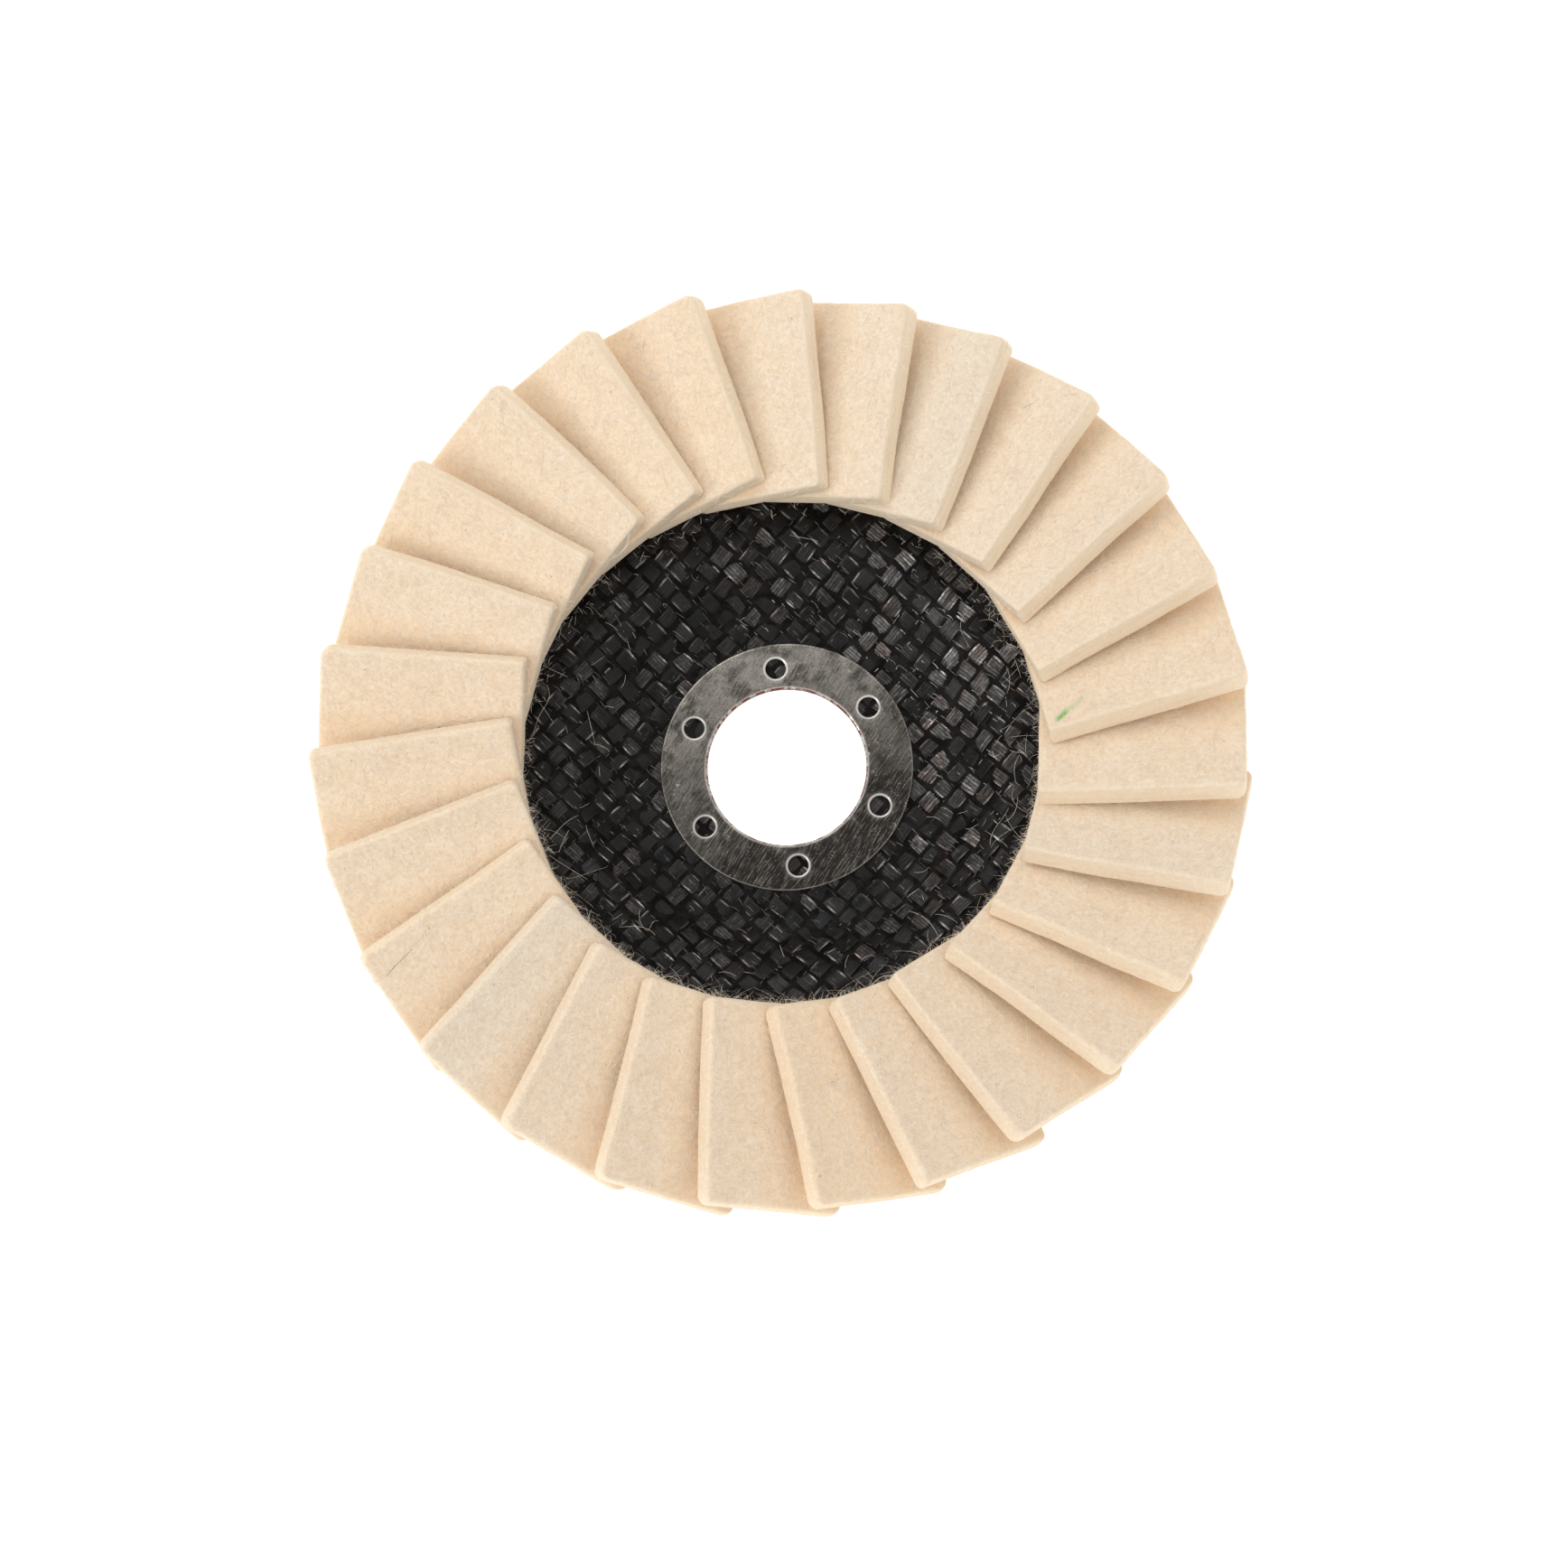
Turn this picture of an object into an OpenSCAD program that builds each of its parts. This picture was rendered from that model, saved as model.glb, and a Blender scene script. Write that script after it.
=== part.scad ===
// Felt flap polishing disc for an angle grinder, in millimetres.
// The origin is on the arbor bore's axis at the hub's back face. +Z points to the working side.

/* [Felt flaps] */
// Number of flaps round the disc
flap_count = 27; // [25:1:29]
// Radius swept by the flaps' outer corners
disc_r = 65; // [63:0.5:67]
// Distance from the axis to the flaps' inner ends
flap_in = 36; // [35:0.5:38]
// Width of a flap, from its buried edge to its raised edge
flap_w = 20; // [18:0.5:21]
// Thickness of the felt
flap_t = 3.5; // [3:0.1:3.8]
// Radius of a flap's corners
flap_corner_r = 2; // [1:0.1:3]
// How far the raised edge lies clockwise of the flap's radial line
raised_s = 10.2; // [9:0.1:11]
// Direction of the first flap, counter-clockwise from +X
first_flap_angle = 95.4; // [0:0.1:360]

/* [Backing plate] */
// Outer radius of the plate
plate_r = 58; // [54:0.5:60]
// Radius of the flat hub
hub_r = 21.5; // [20:0.5:23]
// Radius at which the flat seat for the flaps starts
seat_r = 33.5; // [32:0.5:35]
// Height of the seat above the hub
dish_h = 5.6; // [4:0.1:7]
// Thickness of the woven cloth on the working side
front_cloth_t = 0.5; // [0.4:0.1:0.7]
// Thickness of one glass-fibre ply
ply_t = 0.7; // [0.5:0.1:0.9]
// Thickness of the woven cloth on the grinder side
back_cloth_t = 0.4; // [0.4:0.1:0.6]

/* [Arbor ring] */
// Bore radius, for a 22.23 mm arbor
bore_r = 11.115; // [11.1:0.005:11.2]
// Outer radius of the flange
flange_r = 17.7; // [17:0.1:19]
// Thickness of the stamped sheet
sheet_t = 0.6; // [0.5:0.05:0.8]
// Number of pierced anchor holes
anchor_count = 6; // [4:1:8]
// Radius of the circle that the anchor holes lie on
anchor_pcr = 14.2; // [13.9:0.1:14.5]
// Radius of an anchor hole
anchor_r = 1.45; // [1.2:0.05:1.6]
// Direction of the first anchor hole, counter-clockwise from +X
anchor_angle = 96.4; // [0:0.1:360]

/* [Adhesive] */
// Thickness of the adhesive bed on the seat
bed_t = 2.4; // [1.5:0.1:3]
// Inner radius of the adhesive bed
bed_in = 37.5; // [37:0.5:39]
// How far inside the plate's rim the adhesive bed ends
bed_edge = 1; // [0.5:0.1:2]

/* [Hidden] */
$fn = 96;

// Adhesive left under a flap's buried edge
glue_line = 0.3;
// Felt that touches its neighbour keeps this much room
flap_room = 0.06;
pitch = 360 / flap_count;
// At this tilt each flap's inner end lies on its clockwise neighbour
flap_tilt = asin((flap_t + flap_room) / (2 * flap_in * tan(pitch / 2)));
// The outer corners' arcs reach disc_r
flap_out = flap_corner_r
    + sqrt(pow(disc_r - flap_corner_r, 2) - pow(raised_s - flap_corner_r, 2));
flap_l = flap_out - flap_in;
buried_s = flap_w * cos(flap_tilt) - raised_s;

dish_steps = 12;
back_ply_z = back_cloth_t;
middle_ply_z = back_ply_z + ply_t;
front_ply_z = middle_ply_z + ply_t;
front_cloth_z = front_ply_z + ply_t;
plate_t = front_cloth_z + front_cloth_t;
seat_z = dish_h + plate_t;
flap_z = seat_z + glue_line;

collar_r = bore_r + sheet_t;
// Rounding where the collar turns into the flange
bend_r = 0.5;
bend_steps = 8;
// The collar's back lip is peened outwards into the back cloth
lip_out = 0.4;
// The flange's outer edge and the anchor holes' mouths are chamfered
edge_chamfer = 0.15;
// The spurs round the anchor holes, pressed into the front cloth
spur_t = 0.5;
spur_depth = 0.35;

felt_colour = [0.94, 0.87, 0.77];
cloth_colour = [0.10, 0.10, 0.10];
ply_colour = [0.20, 0.19, 0.16];
steel_colour = [0.48, 0.47, 0.45];
glue_colour = [0.85, 0.75, 0.52];

function flap_name(i) = str("felt_flap_", i < 10 ? "0" : "", i);

// Height of the dished profile at radius r: a flat hub, a smooth slope and a flat seat
function dish(r) = dish_h * (1 - cos(180 * min(1, max(0, (r - hub_r) / (seat_r - hub_r))))) / 2;

// One layer of the dished plate, from z up to z + t at the hub
module layer(z, t, hole_r = collar_r) {
    slope = [for (i = [0:dish_steps]) hub_r + (seat_r - hub_r) * i / dish_steps];
    radii = concat([hole_r], slope, [plate_r]);
    rotate_extrude()
        polygon(concat(
            [for (r = radii) [r, z + dish(r)]],
            [for (i = [len(radii) - 1:-1:0]) [radii[i], z + t + dish(radii[i])]]));
}

module at_anchors() {
    for (i = [0:anchor_count - 1])
        rotate(anchor_angle + i * 360 / anchor_count)
            translate([anchor_pcr, 0, 0])
                children();
}

// The pressed-in spurs, as rings below the flange
module spurs(depth) {
    at_anchors()
        translate([0, 0, plate_t - depth])
            difference() {
                cylinder(r = anchor_r + spur_t, h = depth);
                translate([0, 0, -1])
                    cylinder(r = anchor_r, h = depth + 2);
            }
}

// The outside of the collar's back end, a cone that widens towards the back face
module peened_lip() {
    cylinder(r1 = collar_r + lip_out, r2 = collar_r, h = back_cloth_t);
}

module arbor_ring() {
    face_z = plate_t + sheet_t;
    bend = [for (i = [0:bend_steps])
        let (a = 180 - 90 * i / bend_steps)
        [bore_r + bend_r + bend_r * cos(a), face_z - bend_r + bend_r * sin(a)]];
    color(steel_colour)
        difference() {
            union() {
                rotate_extrude()
                    polygon(concat(
                        [[bore_r, 0]],
                        bend,
                        [[flange_r - edge_chamfer, face_z], [flange_r, face_z - edge_chamfer],
                         [flange_r, plate_t], [collar_r, plate_t], [collar_r, back_cloth_t],
                         [collar_r + lip_out, 0]]));
                spurs(spur_depth);
            }
            at_anchors() {
                translate([0, 0, plate_t - spur_depth - 1])
                    cylinder(r = anchor_r, h = face_z);
                translate([0, 0, face_z - edge_chamfer])
                    cylinder(r1 = anchor_r, r2 = anchor_r + 2 * edge_chamfer, h = 2 * edge_chamfer);
            }
        }
}

module front_cloth() {
    color(cloth_colour)
        difference() {
            layer(front_cloth_z, front_cloth_t);
            spurs(spur_depth);
        }
}

module glass_ply_front() {
    color(ply_colour) layer(front_ply_z, ply_t);
}

module glass_ply_middle() {
    color(ply_colour) layer(middle_ply_z, ply_t);
}

module glass_ply_back() {
    color(ply_colour) layer(back_ply_z, ply_t);
}

module back_cloth() {
    color(cloth_colour)
        difference() {
            layer(0, back_cloth_t);
            peened_lip();
        }
}

// A flap's flat outline, its raised edge along X and its buried edge at flap_w
module flap_outline() {
    r = flap_corner_r;
    translate([r, 0]) square([flap_l - 2 * r, flap_w]);
    translate([0, r]) square([flap_l, flap_w - 2 * r]);
    for (x = [r, flap_l - r], y = [r, flap_w - r])
        translate([x, y]) circle(r = r, $fn = 48);
}

// Flap i, counted clockwise, with its clockwise edge raised onto the next flap
module felt_slab(i) {
    rotate(first_flap_angle - (i - 1) * pitch)
        translate([flap_in, buried_s, flap_z])
            rotate([-flap_tilt, 0, 0])
                translate([0, -flap_w, 0])
                    linear_extrude(flap_t)
                        flap_outline();
}

module felt_flap(i) {
    color(felt_colour) felt_slab(i);
}

module adhesive_bed() {
    color(glue_colour)
        difference() {
            translate([0, 0, seat_z])
                rotate_extrude()
                    translate([bed_in, 0])
                        square([plate_r - bed_edge - bed_in, bed_t]);
            for (i = [1:flap_count])
                felt_slab(i);
        }
}

arbor_ring();
front_cloth();
glass_ply_front();
glass_ply_middle();
glass_ply_back();
back_cloth();
adhesive_bed();
for (i = [1:flap_count])
    felt_flap(i);
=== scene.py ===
"""Looks for the felt flap polishing disc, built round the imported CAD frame.

Shapes are worked out in mm, in the CAD's frame, and turned into metres as each mesh is made.
"""
import itertools
import math

import bpy
import numpy as np
from mathutils import Matrix, Vector
from mathutils.geometry import delaunay_2d_cdt


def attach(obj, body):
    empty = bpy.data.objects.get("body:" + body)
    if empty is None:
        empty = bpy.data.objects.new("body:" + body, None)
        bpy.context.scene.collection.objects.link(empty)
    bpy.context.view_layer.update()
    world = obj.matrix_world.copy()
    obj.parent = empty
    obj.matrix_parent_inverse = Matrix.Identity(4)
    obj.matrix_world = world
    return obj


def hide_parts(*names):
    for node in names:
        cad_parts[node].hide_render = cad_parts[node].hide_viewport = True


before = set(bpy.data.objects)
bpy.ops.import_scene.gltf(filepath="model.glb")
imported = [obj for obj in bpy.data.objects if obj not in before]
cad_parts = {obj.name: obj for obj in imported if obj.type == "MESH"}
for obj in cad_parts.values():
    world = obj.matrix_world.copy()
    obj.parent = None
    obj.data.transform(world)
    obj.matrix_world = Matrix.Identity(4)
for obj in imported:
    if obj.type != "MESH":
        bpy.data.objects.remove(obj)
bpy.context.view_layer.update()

MM = 0.001
UP = np.array([0.0, 0.0, 1.0])
FLOOR_HALF = 4000.0

# The plate, as in the CAD
BORE_R = 11.115
COLLAR_R = 11.715
LIP_R = 12.115
FLANGE_R = 17.7
HUB_R = 21.5
SEAT_R = 33.5
PLATE_R = 58.0
DISH_H = 5.6
CLOTH_T = 0.5
BACK_T = 0.4
PLY_T = 0.7
PLATE_T = 3.0
RING_Z = 3.6
ANCHORS = 6
ANCHOR_PCR = 14.2
ANCHOR_R = 1.45
ANCHOR_ANGLE = 96.4
SPUR_R = 1.95
SPUR_Z = 2.65
BED_IN = 37.5

# The flaps, as in the CAD
FLAPS = 27
PITCH = 360 / FLAPS
FIRST_ANGLE = 95.4
FLAP_IN = 36.0
FLAP_L = 28.46
FLAP_W = 20.0
FLAP_T = 3.5
FLAP_Z = 8.9
FLAP_ROOM = 0.06
RAISED_S = 10.2
FLAP_TILT = math.asin((FLAP_T + FLAP_ROOM) / (2 * FLAP_IN * math.tan(math.radians(PITCH / 2))))
BURIED_S = FLAP_W * math.cos(FLAP_TILT) - RAISED_S


# ---- numbers and noise

def lattice(cell, seed):
    """A repeatable value from -1 to 1 for each whole-number point."""
    h = cell[:, 0] * 374761393 + cell[:, 1] * 668265263 + cell[:, 2] * 1274126177 + seed * 974634777
    h = h & 0xFFFFFFFF
    h = ((h ^ (h >> 13)) * 1103515245) & 0xFFFFFFFF
    h = ((h ^ (h >> 16)) * 668265263) & 0xFFFFFFFF
    h = h ^ (h >> 15)
    return h / 2147483647.5 - 1.0


def noise(points, wavelength, seed):
    """Smooth noise from -1 to 1 at points given as rows of x, y, z."""
    q = points / wavelength + 100.0
    base = np.floor(q).astype(np.int64)
    f = q - base
    f = f * f * (3 - 2 * f)
    total = np.zeros(len(q))
    for corner in itertools.product((0, 1), repeat=3):
        weight = np.prod(np.where(corner, f, 1 - f), axis=1)
        total += weight * lattice(base + np.array(corner), seed)
    return total


def line_noise(t, wavelength, seed):
    """Smooth noise from -1 to 1 along one axis."""
    t = np.asarray(t, float)
    points = np.column_stack([t.ravel(), np.full(t.size, seed * 7.31), np.zeros(t.size)])
    return noise(points, wavelength, seed).reshape(t.shape)


def plane_noise(x, y, wavelength, seed):
    """Smooth noise from -1 to 1 over x and y."""
    x, y = np.broadcast_arrays(np.asarray(x, float), np.asarray(y, float))
    points = np.column_stack([x.ravel(), y.ravel(), np.full(x.size, seed * 3.17)])
    return noise(points, wavelength, seed).reshape(x.shape)


def past_hub(r):
    """0 on the plate's flat hub, 1 on its flat seat."""
    return np.clip((r - HUB_R) / (SEAT_R - HUB_R), 0, 1)


def dish(r):
    """Height of the plate's profile at radius r: flat hub, smooth slope, flat seat."""
    return DISH_H * (1 - np.cos(np.pi * past_hub(r))) / 2


def dish_slope(r):
    return DISH_H * np.pi / (2 * (SEAT_R - HUB_R)) * np.sin(np.pi * past_hub(r))


def rounding(d, radius):
    """How far a rounded edge falls at a distance d inside the outline."""
    t = np.clip(d / radius, 0, 1)
    return radius * (1 - np.sqrt(1 - (1 - t) ** 2))


def unit(v):
    return v / np.maximum(np.linalg.norm(v, axis=-1, keepdims=True), 1e-12)


# ---- mesh building

def add_object(name, data):
    obj = bpy.data.objects.new(name, data)
    bpy.context.scene.collection.objects.link(obj)
    return obj


class Shell:
    """Vertices and faces gathered for one object, with named values for each vertex."""

    def __init__(self):
        self.verts, self.quads, self.tris = [], [], []
        self.soft = {4: [], 3: []}
        self.values = {}
        self.count = 0

    def add(self, verts, quads=(), tris=(), smooth=True, **values):
        verts = np.asarray(verts, float).reshape(-1, 3)
        for faces, store in ((quads, self.quads), (tris, self.tris)):
            if len(faces):
                store.append(np.asarray(faces, np.int64) + self.count)
                self.soft[store[-1].shape[1]].append(np.full(len(faces), smooth))
        for name in set(self.values) | set(values):
            parts = self.values.setdefault(name, [np.zeros(self.count)] if self.count else [])
            parts.append(np.broadcast_to(np.asarray(values.get(name, 0.0), float), (len(verts),)))
        self.verts.append(verts)
        self.count += len(verts)

    def build(self, name):
        verts = np.concatenate(self.verts)
        quads = np.concatenate(self.quads) if self.quads else np.zeros((0, 4), np.int64)
        tris = np.concatenate(self.tris) if self.tris else np.zeros((0, 3), np.int64)
        mesh = bpy.data.meshes.new(name)
        mesh.vertices.add(len(verts))
        mesh.vertices.foreach_set("co", (verts * MM).astype(np.float32).ravel())
        loops = np.concatenate([quads.ravel(), tris.ravel()]).astype(np.int32)
        starts = np.concatenate([np.arange(len(quads)) * 4, len(quads) * 4 + np.arange(len(tris)) * 3])
        mesh.loops.add(len(loops))
        mesh.loops.foreach_set("vertex_index", loops)
        mesh.polygons.add(len(starts))
        mesh.polygons.foreach_set("loop_start", starts.astype(np.int32))
        mesh.update(calc_edges=True)
        mesh.polygons.foreach_set("use_smooth", np.concatenate(self.soft[4] + self.soft[3]))
        for key, parts in self.values.items():
            layer = mesh.attributes.new(key, "FLOAT", "POINT")
            layer.data.foreach_set("value", np.concatenate(parts).astype(np.float32))
        mesh.validate()
        return add_object(name, mesh)


def grid_quads(rows, cols, wrap_rows=False, wrap_cols=False, start=0):
    """Faces of a grid of points numbered row by row."""
    r = np.arange(rows if wrap_rows else rows - 1)
    c = np.arange(cols if wrap_cols else cols - 1)
    r, c = (a.ravel() for a in np.meshgrid(r, c, indexing="ij"))
    r2, c2 = (r + 1) % rows, (c + 1) % cols
    return start + np.column_stack([r * cols + c, r2 * cols + c, r2 * cols + c2, r * cols + c2])


def bridge(a, b):
    """Faces between two closed chains of the same length."""
    return np.column_stack([a, np.roll(a, -1), np.roll(b, -1), b])


def dress(obj, material, slot, *nodes):
    """Gives a piece its material and the root body, and hides the CAD nodes that it stands for. The slot
    argument is not used.
    """
    obj.data.materials.append(material)
    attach(obj, "root")
    if nodes:
        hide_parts(*nodes)


def tubes(shell, paths, radii, sides=3, **values):
    """Closed thin tubes, flat on top, along many paths at once. paths is n, m, 3; radii is n, m."""
    n, m = paths.shape[:2]
    along = unit(np.gradient(paths, axis=1))
    side = unit(np.cross(UP, along) + 1e-6)
    top = np.cross(along, side)
    angle = np.pi / 2 + np.pi * (2 * np.arange(sides) - 1) / sides
    ring = (side[:, :, None] * np.cos(angle)[:, None] + top[:, :, None] * np.sin(angle)[:, None])
    points = paths[:, :, None] + ring * radii[:, :, None, None]
    quads = grid_quads(m, sides, wrap_cols=True)[:, ::-1]
    starts = np.arange(n) * m * sides
    all_quads = (quads[None] + starts[:, None, None]).reshape(-1, 4)
    first = np.arange(sides)[::-1]
    last = (m - 1) * sides + np.arange(sides)
    caps = np.concatenate([first + starts[:, None], last + starts[:, None]])
    faces = (all_quads, caps) if sides == 3 else (np.concatenate([all_quads, caps]),)
    spread = {k: np.repeat(np.broadcast_to(v, (n,)), m * sides) for k, v in values.items()}
    shell.add(points.reshape(-1, 3), *faces, smooth=False, **spread)


def taper(m, start, power):
    """A smooth rise and fall along a tube's m points, 1 in the middle."""
    return np.sin(np.linspace(start, np.pi - start, m))[None] ** power


# ---- material helpers

def linear(r, g, b):
    """A colour given as it looks on screen, 0 to 255, as the shader's linear value."""
    out = []
    for c in (r / 255, g / 255, b / 255):
        out.append(c / 12.92 if c <= 0.04045 else ((c + 0.055) / 1.055) ** 2.4)
    return (*out, 1.0)


def put(tree, kind, inputs=None, **props):
    """Adds a shader node. An input is a plain value, or another node's output socket."""
    node = tree.nodes.new("ShaderNode" + kind)
    for key, value in props.items():
        setattr(node, key, value)
    for key, value in (inputs or {}).items():
        if isinstance(value, bpy.types.NodeSocket):
            tree.links.new(value, node.inputs[key])
        else:
            node.inputs[key].default_value = value
    return node


class Look:
    """One material's node tree, with the shader's plain values set on its own sockets."""

    def __init__(self, name, **plain):
        self.material = bpy.data.materials.new(name)
        self.material.use_nodes = True
        self.tree = self.material.node_tree
        self.shader = self.tree.nodes["Principled BSDF"]
        for key, value in plain.items():
            self.shader.inputs[key.replace("_", " ")].default_value = value
        self.base = None
        place = put(self.tree, "TexCoord").outputs["Object"]
        self.mm = self.scaled(place, 1000, 1000, 1000)

    def wire(self, **sockets):
        """Links the base colour and the given values to the shader."""
        for key, value in {"Base_Color": self.base, **sockets}.items():
            self.tree.links.new(value, self.shader.inputs[key.replace("_", " ")])

    def scaled(self, place, *factors):
        return put(self.tree, "VectorMath", {0: place, 1: factors},
                   operation="MULTIPLY").outputs[0]

    def turned(self, degrees, along, across, upright=1.3):
        """The place turned about Z, then scaled along, across and above the given direction."""
        return put(self.tree, "Mapping",
                   {"Vector": self.mm, "Rotation": (0, 0, math.radians(degrees)),
                    "Scale": (1 / along, 1 / across, 1 / upright)}, vector_type="TEXTURE").outputs[0]

    def noise(self, per_mm, detail, rough, shift=0.0, vector=None, warp=0.0):
        moved = vector or self.mm
        if shift:
            moved = put(self.tree, "VectorMath",
                        {0: moved, 1: (shift, shift * 0.7, shift * 1.3)}).outputs[0]
        return put(self.tree, "TexNoise",
                   {"Vector": moved, "Scale": per_mm, "Detail": detail, "Roughness": rough,
                    "Distortion": warp}).outputs["Fac"]

    def math(self, operation, a, b=0.0):
        return put(self.tree, "Math", {0: a, 1: b}, operation=operation).outputs[0]

    def span(self, value, low, high, to_low=0.0, to_high=1.0, kind="LINEAR"):
        return put(self.tree, "MapRange",
                   {"Value": value, "From Min": low, "From Max": high, "To Min": to_low,
                    "To Max": to_high}, interpolation_type=kind).outputs[0]

    def lines(self, field, width):
        """1 along the lines where a noise field crosses its middle, falling to 0 beside them."""
        away = self.math("ABSOLUTE", self.math("SUBTRACT", field, 0.5))
        return self.span(away, 0.0, width, 1.0, 0.0, "SMOOTHSTEP")

    def blend(self, factor, a, b):
        inputs = {0: factor, 6: a, 7: b}
        return put(self.tree, "Mix", inputs, data_type="RGBA").outputs[2]

    def ground(self, factor, low, high):
        """Starts the base colour as a mix of two colours."""
        self.base = self.blend(factor, linear(*low), linear(*high))

    def coat(self, factor, *colour):
        """Lays a colour over the base colour so far, as strongly as the factor says."""
        self.base = self.blend(factor, self.base, linear(*colour))

    def times(self, a, b):
        return self.math("MULTIPLY", a, b)

    def value(self, name):
        return put(self.tree, "Attribute", attribute_name=name).outputs["Fac"]

    def bump(self, height, strength, depth_mm):
        return put(self.tree, "Bump", {"Height": height, "Strength": strength,
                                                 "Distance": depth_mm * MM}).outputs[0]


# ---- materials

def felt_look():
    """Pressed cream wool: matted fibres, grey and warmer-toned mottling, warmer where the tint value is
    higher (partly each flap's own tone, partly painted shade), paler edges with a painted highlight and a
    painted shadow under the raised edges.
    """
    look = Look("pressed_wool_felt", Roughness=0.95, Sheen_Weight=0.25, Sheen_Roughness=0.5,
                Sheen_Tint=linear(255, 244, 224), Specular_IOR_Level=0.1)
    blotch = look.noise(0.16, 3, 0.6)
    mottle = look.noise(1.8, 4, 0.7, 13.0)
    fibres = 0.0
    for n, degrees in enumerate((12, 58, 101, 149)):
        layer = look.noise(1.0, 1.0, 0.5, 31.0 * n + 5.0, look.turned(degrees, 0.6, 3.4), 0.5)
        fibres = look.math("MAXIMUM", fibres, look.span(layer, 0.58, 0.72))
    look.ground(look.span(blotch, 0.38, 0.62), (247, 230, 207), (245, 224, 197))
    # Painted shade in part: the tint value holds each flap's own warmer tone plus painted shade on the flaps
    # facing away from the light
    look.coat(look.times(look.value("tint"), 0.8), 250, 223, 189)
    look.coat(look.times(look.value("grey"), 0.7), 236, 225, 208)
    look.coat(look.span(mottle, 0.58, 0.38, 0, 0.5), 222, 200, 172)
    look.coat(look.times(fibres, 0.45), 254, 245, 230)
    # Painted highlight: paler felt over the rounded edges and side walls, partly their own paler tone,
    # strongest on flaps pointing towards +Y
    look.coat(look.times(look.value("cut"), 0.8), 255, 238, 212)
    flat = look.scaled(look.mm, 0.14, 0.14, 1.9)
    layers = look.span(look.noise(1.0, 3, 0.6, 4.0, flat), 0.52, 0.68, 0, 0.3)
    look.coat(look.times(look.value("cut"), layers), 226, 196, 160)
    # Painted shadow: brownish shade on the part of each flap that lies under its neighbour's raised edge
    look.coat(look.times(look.value("warm"), 0.25), 240, 206, 162)
    look.coat(look.value("pale"), 254, 246, 232)
    look.coat(look.value("dark"), 58, 40, 30)
    look.coat(look.value("green"), 112, 186, 88)
    height = look.math("ADD", mottle, look.times(fibres, 0.12))
    look.wire(Normal=look.bump(height, 0.5, 0.1))
    return look.material


def yarn_look(name, angle):
    """Flat split-film yarn soaked in black resin, with painted glints where the lit value is high. Its
    filaments run at the given angle.
    """
    look = Look(name, Specular_IOR_Level=0.26)
    strands = look.noise(1.0, 3, 0.65, vector=look.turned(angle, 0.35, 5.0))
    patch = look.noise(0.5, 2, 0.5, 9.0)
    cast = look.noise(0.45, 2, 0.5, 31.0)
    glint_patchiness = look.span(look.noise(1.9, 3, 0.65, 47.0), 0.4, 0.6, 0.5, 1.2)
    # Painted glints: the lit value paints the black yarn pale grey, and near white where it is highest, in
    # place of reflections, broken up in patches
    lit = look.times(look.value("lit"), look.span(strands, 0.36, 0.6, 0.45, 1.25))
    lit = look.times(lit, glint_patchiness)
    look.ground(look.span(patch, 0.4, 0.66), (5, 5, 5), (24, 22, 22))
    pale = look.blend(look.span(cast, 0.5, 0.6), linear(172, 170, 169), linear(166, 150, 144))
    look.base = look.blend(lit, look.base, pale)
    look.coat(look.span(lit, 0.95, 1.3), 226, 224, 220)
    rough = look.span(look.math("ADD", patch, look.times(strands, 0.4)),
                      0.45, 0.95, 0.22, 0.42)
    normal = look.bump(strands, 0.9, 0.06)
    look.wire(Roughness=rough, Normal=normal)
    return look.material


def resin_look():
    """Black resin between the yarns, with lighter grey specks and a brown cast."""
    look = Look("black_resin", Specular_IOR_Level=0.08)
    cast = look.noise(0.5, 3, 0.6)
    grit = look.noise(3.2, 3, 0.6, 5.0)
    look.ground(look.span(cast, 0.4, 0.65), (8, 7, 7), (33, 30, 28))
    look.coat(look.span(grit, 0.62, 0.75, 0, 0.4), 70, 66, 62)
    look.wire(Roughness=look.span(grit, 0.3, 0.7, 0.28, 0.6),
              Normal=look.bump(grit, 0.7, 0.12))
    return look.material


def ply_look():
    """Glass-fibre mesh in dark resin, seen at the plate's cut rim."""
    look = Look("glass_ply", Specular_IOR_Level=0.45)
    one = look.noise(1.0, 2, 0.5, vector=look.turned(47, 0.3, 3.0, 3.0))
    other = look.noise(1.0, 2, 0.5, 17.0, vector=look.turned(-43, 0.3, 3.0, 3.0))
    glass = look.span(look.math("MAXIMUM", one, other), 0.52, 0.7)
    grit = look.noise(2.4, 3, 0.6, 3.0)
    look.ground(glass, (44, 39, 31), (128, 120, 98))
    look.coat(look.span(grit, 0.55, 0.75, 0, 0.7), 24, 21, 18)
    look.wire(Roughness=look.span(grit, 0.3, 0.7, 0.35, 0.7),
              Normal=look.bump(look.math("ADD", glass, grit), 0.6, 0.08))
    return look.material


def glue_look():
    """Cured amber epoxy with trapped dust and a few bubbles."""
    look = Look("amber_epoxy", Roughness=0.28, Specular_IOR_Level=0.5)
    flow = look.noise(0.35, 3, 0.6)
    dust = look.noise(2.6, 3, 0.6, 8.0)
    look.ground(look.span(flow, 0.35, 0.65), (196, 152, 88), (222, 190, 132))
    look.coat(look.span(dust, 0.6, 0.75, 0, 0.6), 240, 222, 184)
    look.wire(Normal=look.bump(dust, 0.4, 0.1))
    return look.material


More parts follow.
